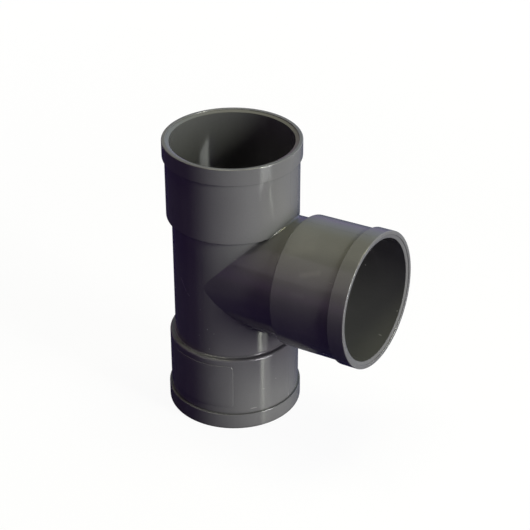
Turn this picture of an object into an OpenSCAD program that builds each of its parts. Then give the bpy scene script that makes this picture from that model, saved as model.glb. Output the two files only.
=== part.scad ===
// Drainage branch fitting: a one-piece moulded tee with three plain pipe sockets.
// The run stands upright on the Z axis with its lower mouth on Z = 0.
// The branch leaves the run along +X and leans up a little, so that its pipe falls towards the run.

/* [Sockets] */
// Bore of every socket, which the pipe's end slides into
socket_bore_d = 75.2; // [60:0.1:90]
// Depth of every socket, from its mouth to the pipe stop
socket_depth = 46.5; // [30:0.5:60]
// Wall of a socket behind its collar
socket_wall = 3.05; // [2:0.05:5]
// Thickness of the shoulder that closes a socket behind its pipe stop
shoulder_wall = 3.9; // [3:0.1:8]
// Length of the thicker collar round every mouth
collar_length = 10.4; // [4:0.1:20]
// How far the collar stands out from the socket's skin
collar_step = 1.45; // [0.5:0.05:4]

/* [Mouths] */
// Width of the flat ring round the mouth
rim_width = 2.4; // [1.2:0.1:3.5]
// Depth of the square step inside the flat ring
rim_step = 0.55; // [0.2:0.05:1.5]
// Length of the sloping lead-in between that step and the bore
lead_in_length = 0.65; // [0.3:0.05:3]

/* [Run and branch] */
// Height of the pipe stops' ledges, which narrow the bore to that of the waterway
stop_height = 3.3; // [2:0.1:6]
// Wall of the run and of the branch between the sockets
barrel_wall = 3; // [2:0.1:5]
// How much slimmer the branch's tube is than the run's, on the radius
branch_relief = 0.1; // [0.05:0.05:2]
// Angle between the branch and the run's lower leg
branch_angle = 87.5; // [85:0.5:90]
// Bare run between the lower socket's shoulder and the underside of the branch
lower_gap = 10.6; // [4:0.1:60]
// How far the branch's crown rises past the upper socket's shoulder
crown_overlap = 3.4; // [2:0.1:4]
// Bare branch between the run's sockets and the branch's own shoulder
branch_gap = 10.25; // [4:0.05:60]

/* [Edges] */
// Round on the outer edge of a mouth
mouth_edge_r = 0.5; // [0.2:0.1:1]
// Round on the inner edge of the flat ring
ring_edge_r = 0.3; // [0.1:0.1:0.6]
// Round under the collar
collar_edge_r = 0.3; // [0.1:0.1:1]
// Round on the outer edge of a shoulder
shoulder_edge_r = 1.2; // [0.4:0.1:1.8]
// Fillet in the corner between a shoulder and the tube behind it
shoulder_fillet_r = 0.8; // [0.2:0.1:1]
// Round on the inner edge of a pipe stop
stop_edge_r = 0.6; // [0.2:0.1:1.2]

/* [Hidden] */
$fn = 180;
// Segments in a full turn of a small edge round
edge_fn = 48;
// How far a cut runs past the face that it starts from
overrun = 2;

socket_bore_r = socket_bore_d / 2;
skin_r = socket_bore_r + socket_wall;
collar_r = skin_r + collar_step;
ring_r = collar_r - rim_width;
socket_length = socket_depth + shoulder_wall;
run_bore_r = socket_bore_r - stop_height;
run_r = run_bore_r + barrel_wall;
branch_bore_r = run_bore_r - branch_relief;
branch_r = run_r - branch_relief;

// The legs run from where the two axes cross to each mouth
lower_leg = socket_length + lower_gap + branch_r;
upper_leg = socket_length + branch_r - crown_overlap;
branch_leg = skin_r + branch_gap + socket_length;
run_height = lower_leg + upper_leg;

// Waste outside a rounded corner, with the corner at the origin and the material at -X and -Y
module corner_waste(r) {
    difference() {
        translate([-r, -r])
            square(r + overrun);
        translate([-r, -r])
            circle(r = r, $fn = edge_fn);
    }
}

// Fill in an inner corner, with the corner at the origin and the open side at +X and -Y
module corner_fill(r) {
    difference() {
        translate([-r / 2, -r])
            square(1.5 * r);
        translate([r, -r])
            circle(r = r, $fn = edge_fn);
    }
}

// Half section of a socket's outside: the mouth is at Y = 0 and the socket runs down from it
module socket_section(tube_r) {
    difference() {
        union() {
            translate([0, -socket_length])
                square([skin_r, socket_length]);
            translate([0, -collar_length])
                square([collar_r, collar_length]);
        }
        translate([collar_r, 0])
            corner_waste(mouth_edge_r);
        translate([collar_r, -collar_length])
            mirror([0, 1])
                corner_waste(collar_edge_r);
        translate([skin_r, -socket_length])
            mirror([0, 1])
                corner_waste(shoulder_edge_r);
    }
    translate([tube_r, -socket_length])
        corner_fill(shoulder_fillet_r);
}

// Half section of what a socket's core leaves open, with a lead-in at the mouth
module socket_core_section(waterway_r) {
    lead_in_end = -rim_step - lead_in_length;
    translate([0, -socket_depth])
        square([socket_bore_r, socket_depth + overrun]);
    polygon([
        [0, overrun],
        [ring_r, overrun],
        [ring_r, -rim_step],
        [socket_bore_r, lead_in_end],
        [0, lead_in_end]
    ]);
    translate([ring_r, 0])
        mirror([1, 0])
            corner_waste(ring_edge_r);
    translate([waterway_r, -socket_depth])
        mirror([1, 0])
            corner_waste(stop_edge_r);
}

// Sets its children's origin where the two axes cross and turns their Z axis along the branch
module on_branch() {
    translate([0, 0, lower_leg])
        rotate([0, branch_angle, 0])
            children();
}

module run_outside() {
    rotate_extrude() {
        translate([0, socket_length / 2])
            square([run_r, run_height - socket_length]);
        translate([0, run_height])
            socket_section(run_r);
        mirror([0, 1])
            socket_section(run_r);
    }
}

module branch_outside() {
    on_branch()
        rotate_extrude() {
            square([branch_r, branch_leg - socket_length / 2]);
            translate([0, branch_leg])
                socket_section(branch_r);
        }
}

module run_core() {
    rotate_extrude() {
        translate([0, socket_depth / 2])
            square([run_bore_r, run_height - socket_depth]);
        translate([0, run_height])
            socket_core_section(run_bore_r);
        mirror([0, 1])
            socket_core_section(run_bore_r);
    }
}

module branch_core() {
    on_branch()
        rotate_extrude() {
            square([branch_bore_r, branch_leg - socket_depth / 2]);
            translate([0, branch_leg])
                socket_core_section(branch_bore_r);
        }
}

module tee_body() {
    color([0.29, 0.29, 0.3])
        difference() {
            union() {
                run_outside();
                branch_outside();
            }
            run_core();
            branch_core();
        }
}

tee_body();
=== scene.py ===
"""Looks of the drainage branch fitting: moulded dark grey pipe plastic under plain studio light."""
import math
import random

import bmesh
import bpy
from mathutils import Matrix, Vector


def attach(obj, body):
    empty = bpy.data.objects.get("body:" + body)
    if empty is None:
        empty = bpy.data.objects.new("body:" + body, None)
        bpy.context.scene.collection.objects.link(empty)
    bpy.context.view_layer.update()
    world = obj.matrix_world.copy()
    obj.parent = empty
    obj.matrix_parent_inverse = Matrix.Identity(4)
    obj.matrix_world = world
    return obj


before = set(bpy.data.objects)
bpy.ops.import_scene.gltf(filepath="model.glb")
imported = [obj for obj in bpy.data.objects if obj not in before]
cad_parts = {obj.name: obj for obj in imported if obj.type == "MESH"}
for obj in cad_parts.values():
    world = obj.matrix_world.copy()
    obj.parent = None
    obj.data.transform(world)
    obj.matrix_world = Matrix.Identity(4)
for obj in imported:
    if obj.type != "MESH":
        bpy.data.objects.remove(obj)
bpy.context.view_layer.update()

scene = bpy.context.scene
scene.view_settings.view_transform = "Standard"
# Metres in a millimetre
MM = 0.001

# Sizes of the CAD model, in millimetres
SKIN_R = 40.65
COLLAR_R = 42.1
RUN_R = 37.3
BRANCH_R = 37.2
SOCKET_LENGTH = 50.4
CROSSING_Z = 98.2
RUN_HEIGHT = 182.4
BRANCH_LEG = 101.3
LEAN = math.radians(2.5)
# Where the run meets the upper socket's shoulder
SHOULDER_Z = RUN_HEIGHT - SOCKET_LENGTH

# Camera at the photograph's viewing angle: degrees, then millimetres, and its clipping in metres
CAMERA_AZIMUTH, CAMERA_ELEVATION = 32.094, 30.937
CAMERA_DISTANCE = 955.12
TARGET_SIDE, TARGET_HEIGHT = 19.412, 94.634
LENS, SENSOR_WIDTH = 104.64, 36
CLIP_START, CLIP_END = 0.01, 50

# Floor, in metres: its strength to the camera rises to white with the distance from the fitting
FLOOR_RADIUS, FLOOR_DROP = 6, 0.0001
NEAR_REACH, NEAR_STRENGTH = 0.3, 0.93
FAR_REACH, FAR_STRENGTH = 1.5, 1
FLOOR_DIFFUSE = (0.06, 0.06, 0.06, 1)
# The dark, glossy table that the fitting reflects
TABLE_COLOUR = (0.012, 0.01, 0.06, 1)
TABLE_ROUGHNESS, TABLE_IOR = 0.05, 1.5

# Lamps: name, azimuth and elevation in degrees, distance, width and height in metres, watts, colour,
# and whether reflections show it
LAMPS = [
    ("strip_low", -2, 2.5, 1.6, 0.66, 0.16, 13, (0.985, 0.94, 1), True),
    ("strip_mid", -2, 13, 1.6, 0.5, 0.42, 12.5, (0.96, 1, 0.95), True),
    ("strip_high", -2, 26, 1.6, 0.5, 0.3, 10.3, (0.96, 1, 0.9), True),
    ("streak_low", -6.6, 22, 1.6, 0.105, 0.28, 0.5, (1, 0.97, 0.8), True),
    ("streak", -6.6, 29.3, 1.6, 0.105, 0.12, 2.6, (0.97, 1, 0.85), True),
    ("streak_end", -6.1, 34.7, 1.6, 0.105, 0.18, 1, (0.95, 1, 0.85), True),
    ("top_back", 180, 80, 1.8, 0.6, 0.6, 12, (1, 0.985, 0.76), True),
    ("top_right", 60, 74, 1.8, 0.6, 0.5, 11.2, (1, 0.99, 0.6), True),
    ("left_panel", 225, 38, 2.0, 1.2, 1.2, 1.75, (0.95, 0.8, 1), True),
    ("back_low", 140, 5, 2.2, 1.8, 0.4, 10, (0.95, 0.97, 1), False),
]
LAMP_AIM = Vector((0.02, 0, 0.09))

# Dim violet room, which fades out upwards and is gone where a direction rises by this much
DIM_COLOUR, DIM_TOP = (0.15, 0.05, 0.25, 1), 0.65
# Soft glow of the room at the right, beyond the lamps, in degrees
GLOW_COLOUR = (0.17, 0.31, 0.56, 1)
GLOW_AZIMUTH, GLOW_ELEVATION, GLOW_SPREAD = 88, 22, 46

# Plastic: its colour, and that of worn or dusty places and of the painted glints, then its gloss
PVC_COLOUR, WORN_AND_GLINT_COLOUR = (0.13, 0.13, 0.128, 1), (0.34, 0.335, 0.32, 1)
PVC_IOR = 1.53
ROUGH_LOW, ROUGH_HIGH = 0.1, 0.15
GRAIN_ROUGH, SCUFF_ROUGH = 0.04, 0.2
# Patterns: cells per metre, then how the flow and the scuffs are stretched and turned
MOTTLE_SCALE, FLOW_SCALE, GRAIN_SCALE, WAVE_SCALE = 24, 55, 1400, 45
SCUFF_SCALE, BREAK_SCALE, SMEAR_SCALE, DUST_SCALE = 90, 900, 110, 260
FLOW_STRETCH, FLOW_DISTORTION = (1, 1, 0.25), 0.4
SCUFF_STRETCH, SCUFF_TURNS = (1, 1, 7), ((0.5, 0.2, 0.3), (1.1, 0.7, 0.1))
# Usual range of a noise, and how far the patterns change the colour
NOISE_LOW, NOISE_HIGH = 0.3, 0.7
MOTTLE_SHADE, FLOW_SHADE, GRAIN_SHADE = 0.05, 0.03, 0.03
# Noise values between which a scuff fades in and a scratch is broken, and what a break leaves of it
SCUFF_LOW, SCUFF_HIGH = 0.8, 0.84
BREAK_LOW, BREAK_HIGH, BREAK_LEFT = 0.35, 0.6, 0.3
# Dust: a speck's reach in its cell, and the cell's random value from which it has one
DUST_INNER, DUST_OUTER = 0.07, 0.12
DUST_LOW, DUST_HIGH = 0.985, 0.99
# Reach of the dusty place in millimetres, and what it adds to that value
DUSTY_OUTER, DUSTY_INNER, DUSTY_EXTRA = 13, 3, 0.16
# How much of the worn colour scuffs and dust show, and what is left of a smear where it is thin
SCUFF_SHARE, DUST_SHARE, SMEAR_LEFT = 0.35, 0.8, 0.5
# Heights of the bumps, in metres
WAVE_HEIGHT, GRAIN_HEIGHT, DUST_HEIGHT = 0.00006, 0.0000012, 0.00003
# Painted shade in inner corners, where ambient occlusion darkens the colour: its reach in metres and its
# samples, then how open its darkest place and an unshaded one are, and its shade
CORNER_REACH, CORNER_SAMPLES = 0.0025, 8
CORNER_CLOSED, CORNER_OPEN, CORNER_SHADE = 0.45, 0.92, 0.5
# Painted shade: the bores are a little darker than the skin, standing in for the shade inside them
BORE_SHADE = 0.66
# Where that shade fades in, in millimetres: by distance from the axis, and by how a wall faces it
BORE_OUTER, BORE_INNER = 38.5, 38
BORE_TURNING, BORE_FACING = -10, -20

# From here to the marks, lengths are in millimetres.
# Fillet where the branch meets the run: its radius, and how far its edges are sunk into the tubes
CROTCH_R, CROTCH_SINK = 1.2, 0.02
# Where it ends on the run and starts on the upper socket, then the height over which it grows there,
# and the share of its radius that it grows from
RUN_CROTCH_TOP, SOCKET_CROTCH_LOW = 132.3, 132.9
SOCKET_CROTCH_FADE, FADE_START = 3.6, 0.12
# Plate on the lower socket: heights, and degrees of turn
PLATE_LOW, PLATE_HIGH = 15.5, 46.0
PLATE_FIRST, PLATE_LAST = -120.5, -58.25
# Its corners' radius and the steps in each, its rise, and about how far apart its outline's points are
PLATE_CORNER, PLATE_CORNER_STEPS, PLATE_PROUD, PLATE_STEP = 2.6, 8, 0.32, 1
# Inset and rise of its rings, along its edge and then across its face
PLATE_EDGE = [(0, -0.2), (0, 0.12), (0.06, 0.22), (0.18, 0.29), (0.4, PLATE_PROUD)]
PLATE_FACE = [(3, PLATE_PROUD), (6, PLATE_PROUD), (9, PLATE_PROUD), (12, PLATE_PROUD)]
# Parting line: half its width, its rise, and about how far apart its points are
RIDGE_HALF_WIDTH, RIDGE_PROUD, RIDGE_STEP = 0.16, 0.07, 4
# Its section, in shares of half its width and of its rise
RIDGE_SECTION = [(-1, -0.6), (-0.5, 0.5), (0, 1), (0.5, 0.5), (1, -0.6)]
# Where it stops: under the branch, above its crown, and on its tube at the top and at the keel
LOW_END, HIGH_END, TOP_END, KEEL_END = 59.0, 138.4, 43.5, 37.4
# Fillet behind a shoulder, as the line follows it: its rise from the tube, and its run along it
FILLET_RISE, FILLET_RUN = 0.9, 0.8
# Half outline of a socket from its mouth inwards: distance from the mouth and radius
COLLAR_OUTLINE = [
    (0.15, 41.95), (0.5, COLLAR_R), (10.1, COLLAR_R), (10.32, 42.01), (10.4, 41.8), (10.4, SKIN_R)]
SOCKET_OUTLINE = COLLAR_OUTLINE + [(49.2, SKIN_R), (50.05, 40.3), (SOCKET_LENGTH, 39.45)]
# Gate mark: reach and rise of its two outer rings
GATE_RIM = [(2.62, -0.15), (2.45, 0.26)]
# Its broken face: reach at the rim and of the innermost ring, rise, roughness, and the middle's rise
GATE_R, GATE_HOLE, GATE_RISE, GATE_BREAK, GATE_MIDDLE = 2.6, 0.02, 0.28, 0.07, 0.3
GATE_SEED = 7


def direction(azimuth, elevation):
    """Unit vector towards these degrees. Azimuth turns from +X towards +Y."""
    a, e = math.radians(azimuth), math.radians(elevation)
    return Vector((math.cos(a) * math.cos(e), math.sin(a) * math.cos(e), math.sin(e)))


def on_skin(radius, turn, z):
    return (radius * math.cos(turn), radius * math.sin(turn), z)


def barrel(degrees, z):
    return on_skin(RUN_R, math.radians(degrees), z)


# Marks that the photograph shows, in millimetres and, on the barrel, in degrees of turn and height.
# A dusty place, and scratches with their width
DUSTY = barrel(-81, 67)
SCRATCHES = [(barrel(-116, 97.9), barrel(-108, 90.5), 0.32),
             (barrel(-105.5, 89.6), barrel(-103.5, 88.4), 0.3)]
# Dust specks on the barrel, and painted glints in the branch's mouth, with their radius
DUST_SPECKS_AND_GLINTS = [(barrel(-82.8, 69), 0.5), (barrel(-76.2, 66.8), 0.35), (barrel(-92, 63), 0.35),
          (barrel(-81.2, 55), 0.4), (barrel(-90.2, 81.8), 0.32),
          ((72.3, 37.5, 98.7), 0.55), ((99.7, 29.2, 78.9), 0.45), ((101.1, 29.3, 75.8), 0.5)]
# Smears on the branch's socket, with their width and strength
SMEARS = [((68.1, -32.5, 125.7), (77.5, -30, 129.1), 2.4, 0.15),
          ((65.1, -38.2, 115), (71.5, -38, 115.9), 2.4, 0.08),
          ((56.5, -23.3, 134), (66.6, -20, 136.5), 6, 0.08)]
# Share of its width or radius within which a mark is at its full strength
SCRATCH_CORE, SPECK_AND_GLINT_CORE, SMEAR_CORE = 0.4, 0.5, 0.2


class Graph:
    """Shader nodes of a material or a world."""

    def __init__(self, owner):
        owner.use_nodes = True
        self.nodes, self.links = owner.node_tree.nodes, owner.node_tree.links
        self.nodes.clear()

    def add(self, kind, inputs=None):
        """A new node, with its inputs set or linked by name or number."""
        node = self.nodes.new(kind)
        for name, value in (inputs or {}).items():
            self.fill(node.inputs[name], value)
        return node

    def fill(self, socket, value):
        """Links a value that comes from a node, and sets any other."""
        if isinstance(value, bpy.types.NodeSocket):
            self.links.new(value, socket)
        else:
            socket.default_value = value

    def shader(self, kind, inputs):
        return self.add(kind, inputs).outputs[0]

    def seen_as(self, to_camera, otherwise):
        """One shader for what the camera sees directly, and another for all other light."""
        path = self.add("ShaderNodeLightPath")
        return self.shader("ShaderNodeMixShader",
                           {"Fac": path.outputs["Is Camera Ray"], 1: otherwise, 2: to_camera})

    def remap(self, value, from_low, from_high, to_low, to_high, curve="LINEAR"):
        node = self.add("ShaderNodeMapRange", {"Value": value, "From Min": from_low, "From Max": from_high,
                                               "To Min": to_low, "To Max": to_high})
        node.interpolation_type = curve
        return node.outputs["Result"]

    def combine(self, operation, *values):
        """The operation on the first two values, then on that result and the next, and so on."""
        result = values[0]
        for value in values[1:]:
            node = self.add("ShaderNodeMath", {0: result, 1: value})
            node.operation = operation
            result = node.outputs[0]
        return result

    def vector(self, operation, first, second=None):
        node = self.add("ShaderNodeVectorMath", {0: first})
        node.operation = operation
        if second is not None:
            self.fill(node.inputs["Scale"] if operation == "SCALE" else node.inputs[1], second)
        return node.outputs["Value" if operation in ("DOT_PRODUCT", "LENGTH") else "Vector"]


def make_camera():
    azimuth, elevation = math.radians(CAMERA_AZIMUTH), math.radians(CAMERA_ELEVATION)
    back = Vector((math.sin(azimuth) * math.cos(elevation),
                   -math.cos(azimuth) * math.cos(elevation),
                   math.sin(elevation)))
    right = Vector((math.cos(azimuth), math.sin(azimuth), 0))
    up = back.cross(right)
    target = Vector((0, 0, TARGET_HEIGHT)) + right * TARGET_SIDE
    place = Matrix((right, up, back)).transposed().to_4x4()
    place.translation = (target + back * CAMERA_DISTANCE) * MM
    camera = bpy.data.objects.new("camera", bpy.data.cameras.new("camera"))
    camera.data.sensor_width = SENSOR_WIDTH
    camera.data.lens = LENS
    camera.data.clip_start, camera.data.clip_end = CLIP_START, CLIP_END
    camera.matrix_world = place
    scene.collection.objects.link(camera)
    scene.camera = camera


def make_floor():
    """White to the camera, with a light shadow of the fitting, and a dark table in its reflections."""
    mesh = bpy.data.meshes.new("floor")
    bm = bmesh.new()
    bmesh.ops.create_circle(bm, cap_ends=True, segments=96, radius=FLOOR_RADIUS)
    bm.to_mesh(mesh)
    bm.free()
    floor = bpy.data.objects.new("floor", mesh)
    floor.location.z = -FLOOR_DROP
    scene.collection.objects.link(floor)
    mat = bpy.data.materials.new("pale_floor")
    graph = Graph(mat)
    away = graph.vector("LENGTH", graph.add("ShaderNodeTexCoord").outputs["Object"])
    strength = graph.remap(away, NEAR_REACH, FAR_REACH, NEAR_STRENGTH, FAR_STRENGTH)
    shown = graph.shader("ShaderNodeAddShader", {
        0: graph.shader("ShaderNodeEmission", {"Strength": strength}),
        1: graph.shader("ShaderNodeBsdfDiffuse", {"Color": FLOOR_DIFFUSE})})
    table = graph.shader("ShaderNodeBsdfPrincipled", {
        "Base Color": TABLE_COLOUR, "Roughness": TABLE_ROUGHNESS, "IOR": TABLE_IOR})
    graph.add("ShaderNodeOutputMaterial", {"Surface": graph.seen_as(shown, table)})
    mesh.materials.append(mat)


def area_light(name, azimuth, elevation, distance, width, height, watts, colour, in_reflections):
    """A soft box that faces the fitting."""
    away = direction(azimuth, elevation)
    data = bpy.data.lights.new(name, "AREA")
    data.shape = "RECTANGLE"
    data.size, data.size_y = width, height
    data.energy = watts
    data.color = colour
    lamp = bpy.data.objects.new(name, data)
    lamp.location = LAMP_AIM + away * distance
    lamp.rotation_mode = "QUATERNION"
    lamp.rotation_quaternion = away.to_track_quat("Z", "Y")
    lamp.visible_camera = False
    lamp.visible_glossy = in_reflections
    scene.collection.objects.link(lamp)


def make_world():
    """White to the camera. The fitting gets the room's dimness and its glow instead."""
    world = bpy.data.worlds.new("studio")
    scene.world = world
    graph = Graph(world)
    way = graph.add("ShaderNodeTexCoord").outputs["Generated"]
    parts = graph.add("ShaderNodeSeparateXYZ", {0: way})
    low = graph.remap(parts.outputs["Z"], 0, DIM_TOP, 1, 0)
    towards = graph.vector("DOT_PRODUCT", way, direction(GLOW_AZIMUTH, GLOW_ELEVATION))
    near = graph.remap(towards, math.cos(math.radians(GLOW_SPREAD)), 1, 0, 1, "SMOOTHSTEP")
    room = graph.shader("ShaderNodeAddShader", {
        0: graph.shader("ShaderNodeBackground", {"Color": DIM_COLOUR, "Strength": low}),
        1: graph.shader("ShaderNodeBackground", {"Color": GLOW_COLOUR, "Strength": near})})
    white = graph.shader("ShaderNodeBackground", {"Color": (1, 1, 1, 1)})
    graph.add("ShaderNodeOutputWorld", {"Surface": graph.seen_as(white, room)})


def pvc_material():
    """Moulded semi-gloss plastic: soft flow mottling, fine grain, faint scuffs and a little dust."""
    mat = bpy.data.materials.new("pvc_grey")
    graph = Graph(mat)
    remap, combine, vector = graph.remap, graph.combine, graph.vector
    coordinates = graph.add("ShaderNodeTexCoord")
    place, outward = coordinates.outputs["Object"], coordinates.outputs["Normal"]

    def noise(scale, detail, stretch=None, turn=(0, 0, 0), distortion=0.0):
        where = place
        if stretch:
            where = graph.add("ShaderNodeMapping", {"Vector": place, "Scale": stretch,
                                                    "Rotation": turn}).outputs[0]
        return graph.add("ShaderNodeTexNoise", {"Vector": where, "Scale": scale, "Detail": detail,
                                                "Distortion": distortion}).outputs["Fac"]

    def mix(blend, factor, first, second):
        node = graph.add("ShaderNodeMix")
        node.data_type = "RGBA"
        node.blend_type = blend
        for name, value in (("Factor", factor), ("A", first), ("B", second)):
            graph.fill(node.inputs[name], value)
        return node.outputs["Result"]

    def vary(pattern, low, high):
        """Spreads the usual range of a noise over these numbers."""
        return remap(pattern, NOISE_LOW, NOISE_HIGH, low, high)

    def around_one(pattern, change):
        return vary(pattern, 1 - change, 1 + change)

    def from_line(start, end, within):
        """Offset in metres from the line through two points in millimetres, and the share of the way.

        Where within is set, the line ends at the two points.
        """
        start = Vector(start) * MM
        line = Vector(end) * MM - start
        offset = vector("SUBTRACT", place, start)
        share = vector("DOT_PRODUCT", offset, line / line.length_squared)
        if within:
            share = remap(share, 0, 1, 0, 1)
        return vector("SUBTRACT", offset, vector("SCALE", line, share)), share

    def near_line(start, end, width, core, strength=1):
        """The strength within the core's share of this width, and none beyond the width."""
        away = vector("LENGTH", from_line(start, end, True)[0])
        return remap(away, width * MM, core * width * MM, 0, strength)

    def near_point(point, outer, inner, strength=1):
        away = vector("LENGTH", vector("SUBTRACT", place, Vector(point) * MM))
        return remap(away, outer * MM, inner * MM, 0, strength)

    def on_bore(start, end):
        """1 on the wall of the bore that runs from start to end: near its axis, and facing it."""
        offset, share = from_line(start, end, False)
        near = remap(vector("LENGTH", offset), BORE_OUTER * MM, BORE_INNER * MM, 0, 1)
        facing = remap(vector("DOT_PRODUCT", offset, outward), BORE_TURNING * MM, BORE_FACING * MM, 0, 1)
        return combine("MULTIPLY", near, facing, combine("GREATER_THAN", share, 0))

    mottle = noise(MOTTLE_SCALE, 3)
    flow = noise(FLOW_SCALE, 2, FLOW_STRETCH, distortion=FLOW_DISTORTION)
    grain = noise(GRAIN_SCALE, 2)
    scuff = combine("MAXIMUM", *(
        remap(noise(SCUFF_SCALE, 1, SCUFF_STRETCH, turn), SCUFF_LOW, SCUFF_HIGH, 0, 1)
        for turn in SCUFF_TURNS))
    broken = remap(noise(BREAK_SCALE, 2), BREAK_LOW, BREAK_HIGH, BREAK_LEFT, 1)
    scratch = combine("MAXIMUM", *(near_line(start, end, width, SCRATCH_CORE)
                                   for start, end, width in SCRATCHES))
    # Dust specks on the barrel; the three in the branch's mouth are painted glints
    speck_and_glint = combine("MAXIMUM", *(near_point(point, radius, SPECK_AND_GLINT_CORE * radius) for point, radius in DUST_SPECKS_AND_GLINTS))
    smear = combine("MAXIMUM", *(near_line(start, end, width, SMEAR_CORE, strength)
                                 for start, end, width, strength in SMEARS))

    cells = graph.add("ShaderNodeTexVoronoi", {"Vector": place, "Scale": DUST_SCALE})
    chosen = graph.add("ShaderNodeSeparateColor", {0: cells.outputs["Color"]})
    chance = combine("ADD", chosen.outputs[0], near_point(DUSTY, DUSTY_OUTER, DUSTY_INNER, DUSTY_EXTRA))
    dust = combine("MULTIPLY", remap(cells.outputs["Distance"], DUST_INNER, DUST_OUTER, 1, 0),
                   remap(chance, DUST_LOW, DUST_HIGH, 0, 1))

    # Painted shade: ambient occlusion darkens the colour in inner corners and creases
    painted_corner_shade = graph.add("ShaderNodeAmbientOcclusion", {"Distance": CORNER_REACH})
    painted_corner_shade.samples = CORNER_SAMPLES
    # Painted shade inside the bores: their walls are darkened
    branch_end = (BRANCH_LEG * math.cos(LEAN), 0, CROSSING_Z + BRANCH_LEG * math.sin(LEAN))
    painted_bore_shade = combine("MAXIMUM", on_bore((0, 0, 0), (0, 0, RUN_HEIGHT)),
                    on_bore((0, 0, CROSSING_Z), branch_end))
    shade = combine("MULTIPLY", around_one(mottle, MOTTLE_SHADE), around_one(flow, FLOW_SHADE),
                    around_one(grain, GRAIN_SHADE),
                    remap(painted_corner_shade.outputs["AO"], CORNER_CLOSED, CORNER_OPEN, CORNER_SHADE, 1),
                    remap(painted_bore_shade, 0, 1, 1, BORE_SHADE))
    # Scuffs, dust, scratches, specks and smears take the pale worn colour, and so do the painted glints
    worn_and_glint = combine("MAXIMUM", combine("MULTIPLY", scuff, SCUFF_SHARE), combine("MULTIPLY", dust, DUST_SHARE),
                   combine("MULTIPLY", scratch, broken), speck_and_glint,
                   combine("MULTIPLY", vary(noise(SMEAR_SCALE, 2), SMEAR_LEFT, 1), smear))
    colour = mix("MIX", worn_and_glint, mix("MULTIPLY", 1, PVC_COLOUR, shade), WORN_AND_GLINT_COLOUR)

    rough = combine("ADD", vary(mottle, ROUGH_LOW, ROUGH_HIGH), vary(grain, 0, GRAIN_ROUGH),
                    combine("MULTIPLY", scuff, SCUFF_ROUGH))
    height = combine("ADD", combine("MULTIPLY", noise(WAVE_SCALE, 1), WAVE_HEIGHT),
                     combine("MULTIPLY", grain, GRAIN_HEIGHT), combine("MULTIPLY", dust, DUST_HEIGHT))
    bump = graph.add("ShaderNodeBump", {"Distance": 1, "Strength": 1, "Height": height})
    surface = graph.shader("ShaderNodeBsdfPrincipled", {
        "Base Color": colour, "Roughness": rough, "IOR": PVC_IOR, "Normal": bump.outputs[0]})
    graph.add("ShaderNodeOutputMaterial", {"Surface": surface})
    return mat


def add_piece(name, points, faces, normals=None):
    """A smooth moulded piece of the fitting, from points in millimetres."""
    mesh = bpy.data.meshes.new(name)
    mesh.from_pydata([Vector(p) * MM for p in points], [], faces)
    mesh.validate()
    mesh.shade_smooth()
    if normals:
        mesh.normals_split_custom_set_from_vertices(normals)
    mesh.materials.append(pvc)
    piece = bpy.data.objects.new(name, mesh)
    scene.collection.objects.link(piece)
    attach(piece, "root")
    return piece


def skin(rows, closed=False):
    """Faces between neighbouring rows of points that have the same length."""
    faces = []
    for i in range(len(rows) - 1):
        n = len(rows[i])
        for k in range(n if closed else n - 1):
            j = (k + 1) % n
            faces.append((i * n + k, i * n + j, (i + 1) * n + j, (i + 1) * n + k))
    return faces


def divide(corners, step):
    """Points along the straight parts between corners, about a step apart, without the last corner."""
    points = []
    for (x0, y0), (x1, y1) in zip(corners, corners[1:]):
        n = max(1, round(math.hypot(x1 - x0, y1 - y0) / step))
        points += [(x0 + (x1 - x0) * i / n, y0 + (y1 - y0) * i / n) for i in range(n)]
    return points


def make_plate():
    """The raised, bare plate moulded on the lower socket."""
    first, last = math.radians(PLATE_FIRST), math.radians(PLATE_LAST)
    half_w = (last - first) * SKIN_R / 2
    half_h = (PLATE_HIGH - PLATE_LOW) / 2
    outline = []
    for sx, sy, start in ((1, 1, 0), (-1, 1, 90), (-1, -1, 180), (1, -1, 270)):
        for i in range(PLATE_CORNER_STEPS + 1):
            t = math.radians(start + 90 * i / PLATE_CORNER_STEPS)
            outline.append((sx * (half_w - PLATE_CORNER) + PLATE_CORNER * math.cos(t),
                            sy * (half_h - PLATE_CORNER) + PLATE_CORNER * math.sin(t)))
    dense = divide(outline + outline[:1], PLATE_STEP)
    spine = half_w - half_h
    middle = ((first + last) / 2, (PLATE_LOW + PLATE_HIGH) / 2)
    rows = []
    for inset, rise in PLATE_EDGE + PLATE_FACE + [(half_h, PLATE_PROUD)]:
        row = []
        for x, y in dense:
            to_x = max(-spine, min(spine, x))
            keep = 1 - inset / half_h
            px, py = to_x + (x - to_x) * keep, y * keep
            row.append(on_skin(SKIN_R + rise, middle[0] + px / SKIN_R, middle[1] + py))
        rows.append(row)
    piece = add_piece("bare_plate", [p for row in rows for p in row], skin(rows, closed=True))
    bm = bmesh.new()
    bm.from_mesh(piece.data)
    bmesh.ops.remove_doubles(bm, verts=bm.verts, dist=1e-5)
    bm.to_mesh(piece.data)
    bm.free()


def crossing_z(tube_r, side):
    """Height of the ball's centre where it touches an upright tube and the branch's top or keel.

    The side is 1 for the top and -1 for the keel.
    """
    return CROSSING_Z + side * (BRANCH_R + CROTCH_R) / math.cos(LEAN) + (tube_r + CROTCH_R) * math.tan(LEAN)


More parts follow.
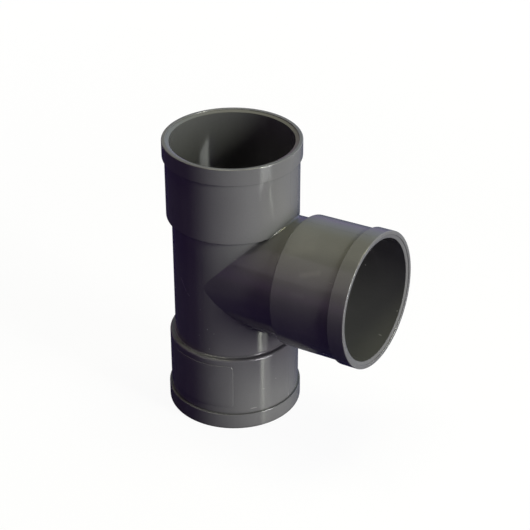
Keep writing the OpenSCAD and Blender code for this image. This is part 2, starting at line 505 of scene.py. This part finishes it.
def make_crotch(name, tube_r, low, high, fade=0.0, segments=8, steps=90):
    """A fillet along the joint between the branch's tube and an upright tube: what a rolling ball leaves.

    Over the length of the fade, the ball grows to its full size.
    """
    along = Vector((math.cos(LEAN), 0, math.sin(LEAN)))
    for side, tag in ((-1, "front"), (1, "back")):
        points, normals, rows = [], [], []
        for i in range(steps + 1):
            z = low + (high - low) * (1 - math.cos(math.pi * i / steps)) / 2
            r = CROTCH_R
            if z < low + fade:
                r *= FADE_START + (1 - FADE_START) * (1 - math.cos(math.pi * (z - low) / fade)) / 2
            ring_r = tube_r + r
            h = z - CROSSING_Z
            reach = math.sqrt(h * h + ring_r ** 2 - (BRANCH_R + r) ** 2)
            x = (reach - h * math.sin(LEAN)) / math.cos(LEAN)
            centre = Vector((x, side * math.sqrt(max(0, ring_r ** 2 - x * x)), z))
            run_out = Vector((centre.x, centre.y, 0)).normalized()
            from_crossing = centre - Vector((0, 0, CROSSING_Z))
            branch_out = (from_crossing - from_crossing.dot(along) * along).normalized()
            turn = run_out.angle(branch_out)
            row = []
            for k in range(segments + 1):
                t = turn * k / segments
                away = (math.sin(turn - t) * run_out + math.sin(t) * branch_out) / math.sin(turn)
                drop = CROTCH_SINK if k in (0, segments) else 0
                row.append(centre - (r + drop) * away)
                normals.append(away)
            rows.append(row)
            points += row
        faces = skin(rows)
        if side > 0:
            faces = [tuple(reversed(f)) for f in faces]
        add_piece(f"{name}_{tag}", points, faces, normals)


def make_ridge(name, outline, origin, axis, out):
    """The thin line where the two halves of the mould met: a ridge along an outline in their plane."""
    origin, axis, out = Vector(origin), Vector(axis).normalized(), Vector(out).normalized()
    across = axis.cross(out)
    points, rows = [], []
    dense = divide(outline, RIDGE_STEP) + outline[-1:]
    for i, (d, r) in enumerate(dense):
        before, after = dense[max(0, i - 1)], dense[min(len(dense) - 1, i + 1)]
        run = (axis * (after[0] - before[0]) + out * (after[1] - before[1])).normalized()
        lift = across.cross(run)
        if lift.dot(out) < -1e-6 or (abs(lift.dot(out)) < 1e-6 and lift.dot(axis) < 0):
            lift = -lift
        at = origin + axis * d + out * r
        row = [at + across * (RIDGE_HALF_WIDTH * w) + lift * (RIDGE_PROUD * h) for w, h in RIDGE_SECTION]
        rows.append(row)
        points += row
    add_piece(name, points, skin(rows))


def make_ridges():
    base, crossing, upright = (0, 0, 0), (0, 0, CROSSING_Z), (0, 0, 1)
    along = (math.cos(LEAN), 0, math.sin(LEAN))
    top, keel = (-math.sin(LEAN), 0, math.cos(LEAN)), (math.sin(LEAN), 0, -math.cos(LEAN))
    foot_r, shoulder = RUN_R + FILLET_RISE, BRANCH_LEG - SOCKET_LENGTH
    lower = SOCKET_OUTLINE + [(SOCKET_LENGTH, foot_r), (SOCKET_LENGTH + FILLET_RUN, RUN_R)]
    upper = [(SHOULDER_Z - FILLET_RUN, RUN_R), (SHOULDER_Z, foot_r)]
    upper += [(RUN_HEIGHT - d, r) for d, r in reversed(SOCKET_OUTLINE)]
    high = [(RUN_HEIGHT - d, r) for d, r in COLLAR_OUTLINE]
    branch = [(BRANCH_LEG - d, r) for d, r in SOCKET_OUTLINE]
    branch += [(shoulder, BRANCH_R + FILLET_RISE), (shoulder - FILLET_RUN, BRANCH_R)]
    make_ridge("parting_back", lower + upper, base, upright, (-1, 0, 0))
    make_ridge("parting_low", lower + [(LOW_END, RUN_R)], base, upright, (1, 0, 0))
    make_ridge("parting_high", high + [(HIGH_END, SKIN_R)], base, upright, (1, 0, 0))
    make_ridge("parting_top", branch + [(TOP_END, BRANCH_R)], crossing, along, top)
    make_ridge("parting_keel", branch + [(KEEL_END, BRANCH_R)], crossing, along, keel)


def make_gate_mark(rings=7, around=40):
    """Where the sprue was cut off: a low, roughly broken stub on the barrel, opposite the branch."""
    draw = random.Random(GATE_SEED)
    points, rows = [], []
    for i in range(rings + 1):
        on_rim = i < len(GATE_RIM)
        reach = GATE_RIM[i][0] if on_rim else GATE_R * (1 - i / rings) + GATE_HOLE
        row = []
        for k in range(around):
            t = 2 * math.pi * k / around
            rise = GATE_RIM[i][1] if on_rim else GATE_RISE + draw.uniform(-GATE_BREAK, GATE_BREAK)
            turn = math.pi + reach * math.cos(t) / RUN_R
            row.append(on_skin(RUN_R + rise, turn, CROSSING_Z + reach * math.sin(t)))
        rows.append(row)
        points += row
    middle = len(points)
    points.append(on_skin(RUN_R + GATE_MIDDLE, math.pi, CROSSING_Z))
    faces = skin(rows, closed=True)
    last = rings * around
    faces += [(last + k, last + (k + 1) % around, middle) for k in range(around)]
    add_piece("gate_mark", points, faces)


make_camera()
make_floor()
for lamp in LAMPS:
    area_light(*lamp)
make_world()
pvc = pvc_material()
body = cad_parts["tee_body"]
body.data.materials.clear()
body.data.materials.append(pvc)
make_plate()
make_crotch("run_crotch", RUN_R, crossing_z(RUN_R, -1), RUN_CROTCH_TOP)
make_crotch("socket_crotch", SKIN_R, SOCKET_CROTCH_LOW, crossing_z(SKIN_R, 1), fade=SOCKET_CROTCH_FADE)
make_ridges()
make_gate_mark()
